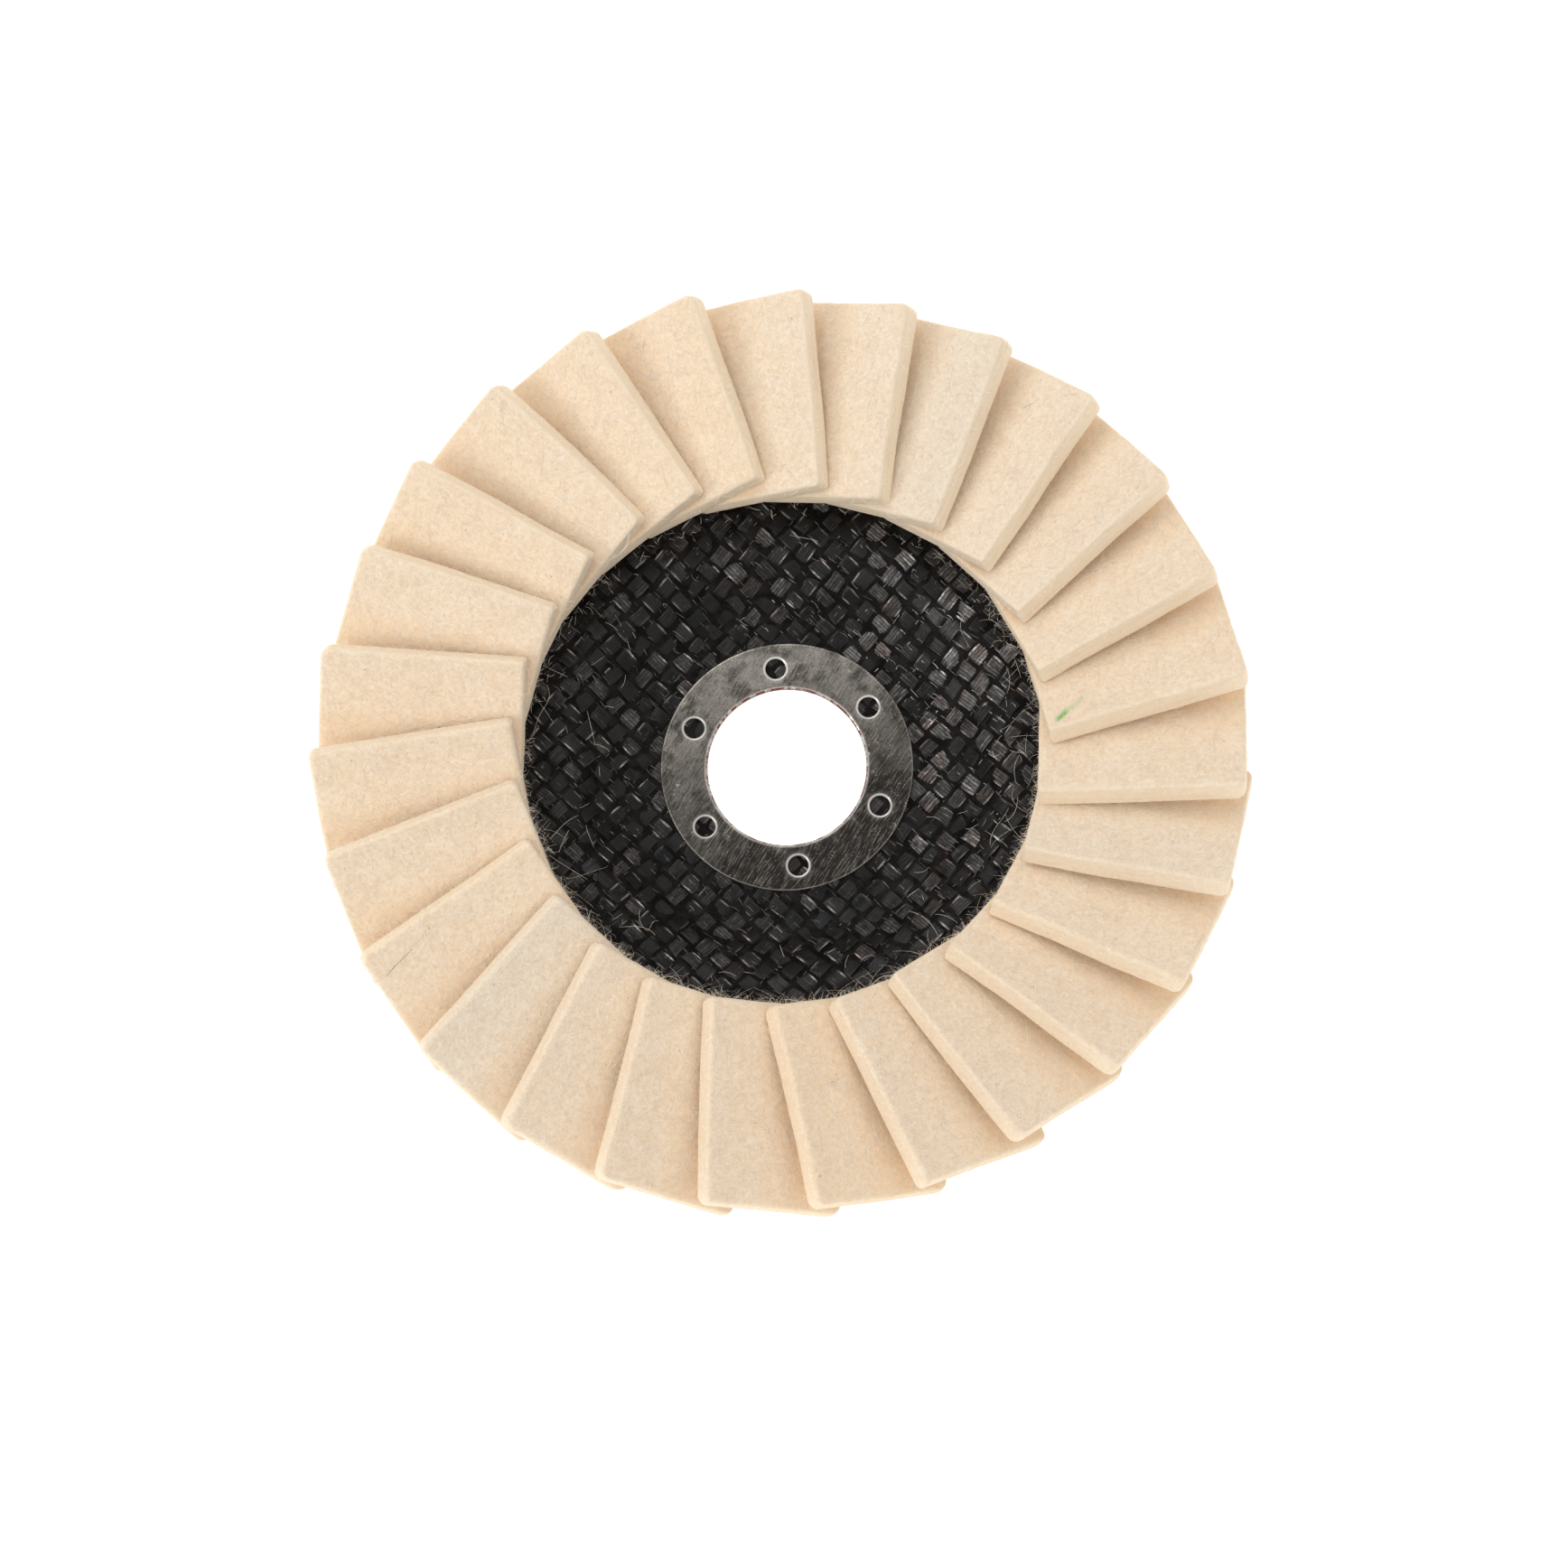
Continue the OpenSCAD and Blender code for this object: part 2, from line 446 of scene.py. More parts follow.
def steel_look():
    """Stamped sheet: fine brushing, a patchy painted reflection that is lighter towards +Y and darker
    towards +X, short scratches, pale specks, painted highlights on the rims and rust on the lip.
    """
    look = Look("stamped_steel", Metallic=1.0)
    brushed = look.noise(1.0, 4, 0.65, vector=look.turned(57, 0.55, 8.5))
    east, north, level = put(look.tree, "SeparateXYZ", {0: look.mm}).outputs
    # Painted reflection: the steel is painted lighter towards +Y and darker towards +X, in patches
    painted_reflection = look.math("ADD", north, look.times(look.noise(0.16, 3, 0.6, 3.0), 30.0))
    painted_reflection = look.math("SUBTRACT", painted_reflection, look.times(look.math("MAXIMUM", east, 0.0), 0.55))
    grain = look.noise(3.6, 4, 0.75, 21.0)
    cloud = look.noise(0.28, 4, 0.6, 55.0)
    nicks = look.lines(look.noise(1.0, 1.0, 0.5, 11.0, look.turned(64, 4.5, 0.9)), 0.01)
    nicks = look.times(nicks, look.span(look.noise(0.9, 2, 0.5, 90.0), 0.58, 0.64))
    specks = look.span(look.noise(2.8, 2.0, 0.6, 66.0), 0.68, 0.74)
    look.ground(look.span(painted_reflection, 2.0, 30.0), (62, 58, 55), (182, 176, 168))
    look.coat(look.span(cloud, 0.46, 0.62, 0, 0.75), 56, 52, 49)
    look.coat(look.span(brushed, 0.47, 0.38, 0, 0.4), 44, 41, 39)
    look.coat(look.span(brushed, 0.53, 0.63, 0, 0.5), 192, 186, 177)
    look.coat(look.span(grain, 0.52, 0.66, 0, 0.65), 34, 32, 30)
    marks = look.math("MAXIMUM", nicks, look.times(specks, 0.5))
    look.coat(marks, 222, 217, 210)
    # Painted highlight: near white on the rounded rims of the bore, holes and outer edge, and painted
    # reflection over the walls, collar and underside
    rim = look.value("rim")
    look.coat(rim, 252, 249, 243)
    flat = look.scaled(look.mm, 1, 1, 0)
    radius = put(look.tree, "VectorMath", {0: flat}, operation="LENGTH").outputs["Value"]
    inner = look.span(radius, BORE_R + 0.18, BORE_R + 0.36, 1.0, 0.0)
    brink = look.span(radius, BORE_R + 0.05, BORE_R + 0.14, 0.85, 0.0)
    outer = look.span(radius, FLANGE_R - 0.4, FLANGE_R - 0.05, 0.0, 0.8)
    lip = look.span(level, RING_Z - 0.75, RING_Z - 0.45)
    patchy = look.noise(0.7, 4, 0.75, 140.0)
    look.coat(look.times(lip, brink), 66, 54, 48)
    rust = look.times(look.times(lip, inner), look.span(patchy, 0.47, 0.55))
    edge_rust = look.times(look.times(outer, patchy), look.span(level, 3.1, 3.3))
    rust = look.math("MAXIMUM", rust, look.span(edge_rust, 0.46, 0.54))
    look.coat(rust, 118, 54, 38)
    rough = look.span(look.math("ADD", grain, cloud), 0.6, 1.4, 0.24, 0.4)
    rough = look.math("ADD", rough, look.times(rust, 0.35))
    metal = look.math("SUBTRACT", 1.0, look.times(rust, 0.85))
    height = look.math("ADD", look.times(brushed, 0.8), grain)
    height = look.math("SUBTRACT", height, look.times(marks, 0.8))
    normal = look.bump(height, 0.45, 0.02)
    look.wire(Roughness=rough, Metallic=metal, Normal=normal)
    return look.material


def floor_look():
    return Look("studio_floor", Roughness=0.85, Base_Color=(0.93, 0.93, 0.93, 1),
                Emission_Color=(1, 1, 1, 1), Emission_Strength=0.6).material


# ---- felt flaps

def flap_turn(i):
    return math.radians(FIRST_ANGLE - (i - 1) * PITCH)


def flap_axes(i):
    """Where flap i stands: a point on its buried edge and its along, across and out directions."""
    turn = flap_turn(i)
    along = np.array([math.cos(turn), math.sin(turn), 0])
    around = np.array([-math.sin(turn), math.cos(turn), 0])
    across = math.cos(FLAP_TILT) * around - math.sin(FLAP_TILT) * UP
    out = math.sin(FLAP_TILT) * around + math.cos(FLAP_TILT) * UP
    origin = FLAP_IN * along + BURIED_S * around + FLAP_Z * UP
    return origin, along, across, out


def edge_steps(length, fine, coarse_from=None):
    """Positions along a side: close together at both ends, fine between, coarse after a point."""
    near = [0.0, 0.04, 0.11, 0.22, 0.38, 0.58, 0.84, 1.16]
    steps = list(near)
    while steps[-1] < length - near[-1] - fine:
        coarse = coarse_from is not None and steps[-1] > coarse_from
        steps.append(steps[-1] + (2.2 * fine if coarse else fine))
    steps = [s for s in steps if s < length - near[-1] - 0.2 * fine]
    return np.array(steps + [length - s for s in near[::-1]])


class Flap:
    """One felt slab's shape, in its own x (outwards), w (from the raised edge) and z (up)."""

    def __init__(self, i):
        rng = np.random.default_rng(1000 + i)
        self.seed = 40 * i
        self.axes = flap_axes(i)
        # Strength of the painted highlight on the edges and walls: 1 on flaps pointing +Y, 0.3 on flaps
        # pointing -Y
        self.edge_highlight_gain = 0.65 + 0.35 * self.axes[1][1]
        self.corners = rng.uniform(0.6, 1.0), rng.uniform(0.9, 1.6)
        self.round_top = rng.uniform(0.45, 0.75)
        self.round_low = rng.uniform(0.25, 0.4)
        self.turn = math.radians(rng.normal(0, 0.75))
        self.slide = rng.uniform(-0.25, 0.35) - 0.6 * max(math.cos(flap_turn(i)), 0.0)
        self.lift = rng.uniform(-0.1, 0.7)
        self.curl = rng.uniform(-0.15, 0.45)
        self.swell = rng.uniform(-0.1, 0.15)

    def corner(self, x):
        """Radius of the nearer corners: small at the inner end, larger at the outer end."""
        return np.where(x < FLAP_L / 2, *self.corners)

    def inset(self, x, w):
        """Distance inside the rounded outline, negative outside it."""
        c = self.corner(x)
        qx = np.abs(x - FLAP_L / 2) - (FLAP_L / 2 - c)
        qw = np.abs(w - FLAP_W / 2) - (FLAP_W / 2 - c)
        outside = np.hypot(np.maximum(qx, 0), np.maximum(qw, 0))
        return c - outside - np.minimum(np.maximum(qx, qw), 0)

    def plan(self, x, w):
        """Moves a plain rectangle's points so that its corners are round."""
        c = self.corner(x)
        qx = np.clip((np.abs(x - FLAP_L / 2) - (FLAP_L / 2 - c)) / c, 0, 1)
        qw = np.clip((np.abs(w - FLAP_W / 2) - (FLAP_W / 2 - c)) / c, 0, 1)
        nx = x + np.sign(x - FLAP_L / 2) * c * (qx * np.sqrt(1 - qw * qw / 2) - qx)
        nw = w + np.sign(w - FLAP_W / 2) * c * (qw * np.sqrt(1 - qx * qx / 2) - qw)
        return nx, nw

    def outward(self, x, w):
        """Directions that point straight out of the outline at points on it."""
        c = self.corner(x)
        dx = x - np.clip(x, c, FLAP_L - c)
        dw = w - np.clip(w, c, FLAP_W - c)
        reach = np.maximum(np.hypot(dx, dw), 1e-6)
        return dx / reach, dw / reach

    def fuzz_height(self, x, w, level, calm=1.0):
        """Uneven felt: broad swells, matted lumps and fine tufts."""
        p = np.column_stack([np.ravel(x), np.ravel(w), np.full(np.size(x), level)])
        bumps = 0.11 * noise(p, 6.5, self.seed + 1) + 0.075 * noise(p, 2.3, self.seed + 2)
        bumps += 0.045 * noise(p, 0.95, self.seed + 3) + 0.02 * noise(p, 0.5, self.seed + 4)
        return calm * bumps.reshape(np.shape(x))

    def warp(self, x, w, z):
        """The whole slab's set: turned a little, slid, lifted at its free corner and curled."""
        u = x / FLAP_L
        free = np.clip(1 - w / FLAP_W, 0, 1)
        z = z + self.lift * u * u * free ** 1.5 + self.curl * free ** 3
        z = z + self.swell * np.sin(np.pi * u) * free
        z = z + 0.16 * plane_noise(x, w, 11.0, self.seed + 5) * free
        c, s = math.cos(self.turn), math.sin(self.turn)
        dx, dw = x - 6.0, w - FLAP_W
        x2 = 6.0 + c * dx - s * dw + self.slide * free
        w2 = FLAP_W + s * dx + c * dw
        w2 = w2 + 0.12 * line_noise(x, 9.0, self.seed + 6) * free
        x2 = x2 + 0.12 * line_noise(w, 9.0, self.seed + 7) * u
        return x2, w2, z

    def place(self, x, w, z):
        """Slab positions as positions on the disc."""
        origin, along, across, out = self.axes
        x, w, z = self.warp(x, w, z)
        return origin + x[..., None] * along + (w - FLAP_W)[..., None] * across + z[..., None] * out

    def top(self, x, w):
        """Height of the upper face, running on level past the edge."""
        d = np.maximum(self.inset(x, w), 0)
        return FLAP_T - rounding(d, self.round_top) + self.fuzz_height(x, w, 9.0)


def near_line(x, w, start, end, width):
    """1 on a straight line between two points of a slab, falling to 0 away from it."""
    run = np.array(end) - np.array(start)
    t = np.clip(((x - start[0]) * run[0] + (w - start[1]) * run[1]) / (run @ run), 0, 1)
    away = np.hypot(x - start[0] - t * run[0], w - start[1] - t * run[1])
    return np.exp(-(away / width) ** 2)


def flap_slab(shell, flap, tint, grey, stain):
    """The closed slab: an upper and a lower face joined by a side wall."""
    gx, gw = np.meshgrid(edge_steps(FLAP_L, 0.42), edge_steps(FLAP_W, 0.42, 13.0), indexing="ij")
    x, w = flap.plan(gx, gw)
    rows, cols = x.shape
    d = np.maximum(flap.inset(x, w), 0)
    upper = flap.top(x, w)
    lower = rounding(d, flap.round_low) - flap.fuzz_height(x, w, -4.0, 0.7)
    top_points = flap.place(x, w, upper)
    low_points = flap.place(x, w, lower)
    cut = np.clip(1 - d / 0.5, 0, 1).ravel()
    # Painted shadow mask: rising from 7 mm to 10.5 mm from the raised edge, towards the buried edge under
    # the neighbouring flap
    near = np.clip((w - 7.0) / 3.5, 0, 1).ravel()
    shade = {"tint": tint, "grey": grey}
    size = rows * cols
    ids = np.arange(size).reshape(rows, cols)
    border = np.concatenate([ids[:-1, 0], ids[-1, :-1], ids[:0:-1, -1], ids[0, :0:-1]])
    bx, bw = x.ravel()[border], w.ravel()[border]
    bt, bl = upper.ravel()[border], lower.ravel()[border]
    out_x, out_w = flap.outward(bx, bw)
    levels = 6
    wall = []
    for t in np.arange(1, levels) / levels:
        z = bt + (bl - bt) * t
        p = np.column_stack([bx, bw, z * 1.6])
        push = 0.09 * math.sin(math.pi * t) + 0.07 * noise(p, 2.6, flap.seed + 11)
        push += 0.035 * noise(p, 0.9, flap.seed + 12)
        wall.append(flap.place(bx + out_x * push, bw + out_w * push, z))
    ring = len(border)
    faces = [grid_quads(rows, cols), grid_quads(rows, cols, start=size)[:, ::-1]]
    chain = [2 * size + k * ring + np.arange(ring) for k in range(levels - 1)]
    for a, b in zip([border, *chain], [*chain, size + border]):
        faces.append(bridge(a, b)[:, ::-1])
    verts = np.concatenate([top_points.reshape(-1, 3), low_points.reshape(-1, 3)] + wall)
    blank = np.zeros(ring * (levels - 1))
    # The edges' own paler tone and painted highlight, scaled per flap; the side walls take it in full
    edge_tone_and_highlight = flap.edge_highlight_gain * np.concatenate([cut, cut, blank + 1])
    warm = np.concatenate([near, near, blank])
    if stain:
        shade["green"] = np.concatenate([stain(x, w).ravel(), np.zeros(size), blank])
    shell.add(verts, np.concatenate(faces), cut=edge_tone_and_highlight, warm=warm, **shade)


def curls(rng, n, m, length, tight):
    """Flat wandering curves: n of them, with m points, from the origin."""
    heading = rng.uniform(0, 2 * np.pi, (n, 1))
    tight = np.broadcast_to(tight, (n,))[:, None]
    bend = rng.normal(0, 1, (n, 1)) * tight
    wave = rng.normal(0, 1, (n, 1)) * tight * np.sin(
        np.linspace(0, 1, m)[None] * rng.uniform(2, 7, (n, 1)) + rng.uniform(0, 6, (n, 1)))
    step = length[:, None] / (m - 1)
    heading = heading + np.cumsum((bend + wave) * step, axis=1)
    x = np.cumsum(np.cos(heading) * step, axis=1)
    y = np.cumsum(np.sin(heading) * step, axis=1)
    return x - x[:, :1], y - y[:, :1]


def surface_hairs(shell, flap, rng, n, tint):
    """Fine hairs lying on the upper face: most short and curled, some long and loose."""
    m = 9
    long = rng.random(n) < 0.16
    length = np.where(long, rng.uniform(3.5, 7.5, n), rng.uniform(0.8, 2.6, n))
    dx, dw = curls(rng, n, m, length, np.where(long, 0.16, 0.6))
    x = rng.uniform(0.2, FLAP_L - 0.2, n)[:, None] + dx
    w = (13.5 * rng.uniform(0, 1, n) ** 1.1 + 0.1)[:, None] + dw
    inside = flap.inset(x, w)
    arch = taper(m, 0, 1) * rng.uniform(0.0, 0.07, (n, 1))
    z = flap.top(x, w) + 0.008 + arch - 0.2 * np.clip(-inside, 0, 1.5) ** 1.3
    keep = (inside > -0.9).all(axis=1)
    paths = flap.place(x, w, z)[keep]
    thick = rng.uniform(0.014, 0.027, n) * np.where(long, 1.3, 1.0)
    radii = thick[keep][:, None] * taper(m, 0.25, 0.4)
    tubes(shell, paths, radii, tint=tint, pale=rng.uniform(0.3, 1.0, len(paths)))


def edge_hairs(shell, flap, rng, n, tint, fringe):
    """Short hairs that stand out from the cut edges, longer by the fringe factor at the inner end."""
    m = 6
    side = rng.random(n)
    t = rng.random(n)
    x = np.where(side < 0.45, t * FLAP_L, np.where(side < 0.7, FLAP_L, 0.0))
    w = np.where(side < 0.45, 0.0, t * 15.0)
    x, w = flap.plan(x, w)
    out_x, out_w = flap.outward(x, w)
    wisp = fringe * (0.6 + 2.4 * rng.random(n) ** 3)
    length = rng.uniform(0.25, 1.1, n) * rng.uniform(0.5, 1.0, n) * np.where(side < 0.7, 1.0, wisp)
    s = np.linspace(0, 1, m)[None] * length[:, None]
    sway = rng.normal(0, 0.6, (n, 1)) * s + rng.normal(0, 0.6, (n, 1)) * s * s
    height = rng.uniform(0.5, FLAP_T - 0.3, n)
    px = x[:, None] + out_x[:, None] * (s - 0.12) - out_w[:, None] * sway
    pw = w[:, None] + out_w[:, None] * (s - 0.12) + out_x[:, None] * sway
    pz = height[:, None] + rng.normal(0.1, 0.45, (n, 1)) * s + rng.normal(0, 0.35, (n, 1)) * s * s
    radii = rng.uniform(0.013, 0.022, (n, 1)) * np.linspace(1, 0.35, m)[None]
    tubes(shell, flap.place(px, pw, pz), radii, tint=tint, pale=0.5)


def lone_hair(shell, flap, x, w, heading, length, bend, radius, **shade):
    """One hair of its own colour laid on the upper face."""
    m = 16
    angle = math.radians(heading) + np.linspace(0, 1, m) * math.radians(bend)
    step = length / (m - 1)
    px = x + np.cumsum(np.cos(angle)) * step
    pw = w + np.cumsum(np.sin(angle)) * step
    pz = flap.top(px, pw) + 0.02
    radii = radius * taper(m, 0.3, 0.5)
    tubes(shell, flap.place(px, pw, pz)[None], radii, **shade)


def specks(shell, flap, rng, n):
    """Short dark bits of chaff caught in the felt."""
    m = 4
    length = rng.uniform(0.1, 0.45, n)
    dx, dw = curls(rng, n, m, length, 1.0)
    x = rng.uniform(1, FLAP_L - 1, n)[:, None] + dx
    w = rng.uniform(0.8, 10, n)[:, None] + dw
    radii = rng.uniform(0.018, 0.035, (n, 1)) * np.ones((1, m))
    tubes(shell, flap.place(x, w, flap.top(x, w) + 0.012), radii, dark=rng.uniform(0.25, 0.8, n))


# Painted light and shade: flaps that point this way get the palest felt, and the flaps opposite are painted
# warmer and darker, as shade
PAINTED_LIGHT_SIDE = 112
# Flaps that stand out: warmer or greyer felt than the rest
WARM_FLAPS = {14: 0.9, 24: 0.6, 25: 0.55, 26: 0.6, 27: 0.8, 1: 0.3, 21: 0.5, 22: 0.5}
GREY_FLAPS = {3: 0.9, 18: 0.8, 9: 0.4, 12: 0.3}
# Dark hairs: x, w, heading, length, bend, radius, darkness
DARK_HAIRS = {
    3: ((19.0, 3.0, 60, 1.3, 150, 0.022, 0.4),),
    4: ((22.0, 8.9, -30, 2.0, -12, 0.026, 0.8), (23.9, 7.8, -36, 0.9, 20, 0.02, 0.5)),
    14: ((11.9, 5.7, 103, 1.7, 8, 0.03, 0.8), (24.5, 0.9, 80, 0.6, 20, 0.04, 0.6)),
    19: ((27.2, 4.2, 196, 5.2, -8, 0.032, 0.8), (21.8, 2.9, 188, 3.0, 20, 0.022, 0.35),
         (18.3, 2.3, 250, 0.6, 30, 0.035, 0.5)),
    27: ((24.6, 8.9, 40, 0.9, 150, 0.036, 0.6),),
}


def green_stain(x, w):
    """A short streak of green dye near the inner end, fading outwards."""
    strong = 1.0 * near_line(x, w, (1.7, 1.3), (3.0, 2.2), 0.36)
    return np.maximum(strong, 0.42 * near_line(x, w, (3.2, 2.3), (5.8, 3.6), 0.28))


def make_flaps(material):
    for i in range(1, FLAPS + 1):
        rng = np.random.default_rng(5000 + i)
        flap = Flap(i)
        shell = Shell()
        tint = WARM_FLAPS.get(i, rng.uniform(0.0, 0.35))
        # Painted shade: up to 0.44 more tint on the flaps that point away from the painted light side
        tint += 0.22 - 0.22 * math.cos(flap_turn(i) - math.radians(PAINTED_LIGHT_SIDE))
        grey = GREY_FLAPS.get(i, rng.uniform(0.0, 0.2))
        flap_slab(shell, flap, tint, grey, green_stain if i == 7 else None)
        surface_hairs(shell, flap, rng, 900, tint * 0.5)
        edge_hairs(shell, flap, rng, 420, tint * 0.5, 0.7 - 0.4 * math.sin(flap_turn(i)))
        specks(shell, flap, rng, 9)
        for x, w, heading, length, bend, radius, dark in DARK_HAIRS.get(i, ()):
            lone_hair(shell, flap, x, w, heading, length, bend, radius, dark=dark)
        obj = shell.build(f"felt_flap_{i:02d}_wool")
        dress(obj, material, "wool_felt", f"felt_flap_{i:02d}")


# ---- woven cloth

WEAVE_ANGLE = -43.0
WEAVE_PITCH = 2.8
STRANDS = 5


def chords(offset, r_in, r_out):
    """The stretches of a straight yarn that lie between two radii."""
    if abs(offset) >= r_out:
        return []
    end = math.sqrt(r_out ** 2 - offset ** 2)
    if abs(offset) >= r_in:
        return [(-end, end)]
    start = math.sqrt(r_in ** 2 - offset ** 2)
    return [(-end, -start), (start, end)]


def held(q, row, seed):
    """A value from -1 to 1 for each crossing, kept level over it and eased between crossings."""
    cell = np.floor(q).astype(np.int64)
    t = np.clip((q - cell - 0.33) / 0.34, 0, 1)
    t = t * t * (3 - 2 * t)
    here, after = (lattice(np.column_stack([c, np.full_like(c, row), np.zeros_like(c)]), seed)
                   for c in (cell, cell + 1))
    return here * (1 - t) + after * t


def yarn(shell, family, k, span, level, reach, width, fine, seed, flip):
    """One flat bundle of filaments, passing over and under the yarns that cross it.

    reach holds the two radii that the cloth is trimmed to.
    """
    front = flip > 0
    turn = math.radians(WEAVE_ANGLE + 90 * family)
    lead = np.array([math.cos(turn), math.sin(turn)])
    aside = np.array([-math.sin(turn), math.cos(turn)])
    count = max(4, int((span[1] - span[0]) / (WEAVE_PITCH / fine)) + 1)
    u = np.linspace(span[0], span[1], count)
    place = seed + 13 * k + 1000 * family
    drift = 0.2 * line_noise(u, 9.0, place) + 0.09 * line_noise(u, 2.6, place + 1)
    centre = u[:, None] * lead + ((k + 0.5) * WEAVE_PITCH + drift)[:, None] * aside
    r = np.hypot(centre[:, 0], centre[:, 1])
    radial = centre / r[:, None]
    normal = unit(np.column_stack([-dish_slope(r)[:, None] * radial, np.ones(count)]))
    q = u / WEAVE_PITCH - 0.5
    cell = np.floor(q)

    def each(n):
        return held(q, k, place + n)

    ease = np.clip((q - cell - 0.27) / 0.46, 0, 1)
    over = flip * (1 - 2 * ((cell + k) % 2)) * (1 - 2 * ease * ease * (3 - 2 * ease))
    gap = q - np.round(q)
    height = (0.16 if front else 0.1) * over
    uneven = 0.035 if front else 0.012
    height = height + uneven * held(np.round(q), k, place + 2) * np.sin(2 * np.pi * gap)
    height = height + uneven * each(7)
    base = np.column_stack([centre, level + dish(r)]) + height[:, None] * normal
    along = unit(np.gradient(base, axis=0))
    side = unit(np.cross(normal, along))
    lean = np.radians(6.5 if front else 2.0) * each(3)
    side2 = np.cos(lean)[:, None] * side + np.sin(lean)[:, None] * normal
    face = np.cross(along, side2)
    spread = width * (1 + 0.12 * each(4) + 0.06 * line_noise(u, 1.5, place + 5))
    cols = 4 * STRANDS + 1 if front else 9
    s = np.linspace(-1, 1, cols)
    crown = np.sqrt(np.clip(1 - np.abs(s) ** 6, 0, 1))[None]
    thick = 0.07
    top = thick * crown * np.ones((count, 1))
    lit = np.zeros((count, cols))
    if front:
        strand = (s + 1) / 2 * STRANDS
        ridge = np.abs(np.sin(np.pi * strand))[None] ** 0.7
        rise = [0.5 + 0.5 * line_noise(u, 1.6, place + 20 + int(j * 0.999)) for j in strand]
        rise = np.column_stack(rise)
        top += 0.026 * ridge * (0.4 + rise) * crown
        # Painted glints: a random strength per pad, brighter on the slope that faces the main light (towards
        # the upper right), and on the folds at the yarn's edges
        pad = 0.5 + 0.5 * each(6)
        facing = 0.33 + 0.87 * np.clip(radial @ np.array([0.9, 0.43]), 0, 1)
        bright = facing * (pad ** 3.2 if family == 0 else 0.7 * pad ** 3.2)
        lit += (bright * np.clip(1.3 * over, 0, 1))[:, None] * (0.1 + 1.1 * rise) * (0.15 + 0.85 * ridge)
        for n, edge in enumerate((-0.86, 0.86)):
            fold = np.exp(-((s - edge) / 0.1) ** 2)[None]
            shine = np.clip(each(8 + n) * 2.2 - (0.2 if family == 0 else 0.9), 0, 1.3)
            shine = shine * np.exp(-((gap + 0.12 * each(10)) / 0.26) ** 4)
            lit += (shine * np.clip(over + 0.4, 0, 1))[:, None] * fold
            top += 0.03 * shine[:, None] * fold
    low_s = np.array([0.62, 0.0, -0.62])
    x = np.concatenate([s, low_s])[None] * (spread / 2)[:, None]
    z = np.concatenate([top, -thick * np.sqrt(1 - low_s ** 2)[None] * np.ones((count, 1))], axis=1)
    points = base[:, None] + x[:, :, None] * side2[:, None] + z[:, :, None] * face[:, None]
    r = np.hypot(points[..., 0], points[..., 1])
    points[..., :2] *= (np.clip(r, *reach) / r)[..., None]
    lit = np.concatenate([lit, np.zeros((count, 3))], axis=1)
    cols += 3
    caps = []
    for start, order in ((0, 1), ((count - 1) * cols, -1)):
        caps += [[start, start + j, start + j + 1][::order] for j in range(1, cols - 1)]
    shell.add(points.reshape(-1, 3), grid_quads(count, cols, wrap_cols=True), caps, lit=lit.ravel())


def weave(name, family, level, r_in, r_out, width, fine, seed, flip=1, sides=(-1, 1)):
    """The yarns of one direction in one cloth, on one or both sides of the middle."""
    shell = Shell()
    last = int(r_out / WEAVE_PITCH) + 2
    for k in range(-last, last + 1):
        if (1 if k >= 0 else -1) not in sides:
            continue
        for span in chords((k + 0.5) * WEAVE_PITCH, r_in, r_out):
            if span[1] - span[0] > 0.8:
                yarn(shell, family, k, span, level, (r_in, r_out), width, fine, seed, flip)
    return shell.build(name)


def frayed(name, n, seed):
    """Loose filaments standing proud of the front cloth, most of them along the warp."""
    rng = np.random.default_rng(seed)
    m = 7
    warp = rng.random(n) < 0.68
    length = np.where(warp, rng.uniform(0.5, 1.7, n), rng.uniform(0.3, 0.9, n))
    heading = np.radians(np.where(warp, WEAVE_ANGLE, WEAVE_ANGLE + 90) + rng.normal(0, 7, n))
    bend = rng.normal(0, 0.1, (n, 1)) * np.linspace(-1, 1, m)[None]
    run = np.linspace(-0.5, 0.5, m)[None] * length[:, None]
    angle = rng.uniform(0, 2 * np.pi, n)
    radius = np.sqrt(rng.uniform(16.0 ** 2, 37.5 ** 2, n))
    x = (radius * np.cos(angle))[:, None] + run * np.cos(heading[:, None] + bend)
    y = (radius * np.sin(angle))[:, None] + run * np.sin(heading[:, None] + bend)
    lift = rng.uniform(-0.09, 0.03, (n, 1)) + 0.05 * taper(m, 0, 1)
    z = PLATE_T + dish(np.hypot(x, y)) + lift
    radii = rng.uniform(0.035, 0.085, (n, 1)) * taper(m, 0.25, 0.5)
    # Painted glints: filaments are painted brighter on the side of the disc that faces the main light
    facing = 0.4 + 0.6 * np.clip(np.cos(angle - 0.45), 0, 1)
    shell = Shell()
    tubes(shell, np.stack([x, y, z], axis=2), radii, lit=facing * rng.uniform(0.15, 1.1, n))
    return shell.build(name)


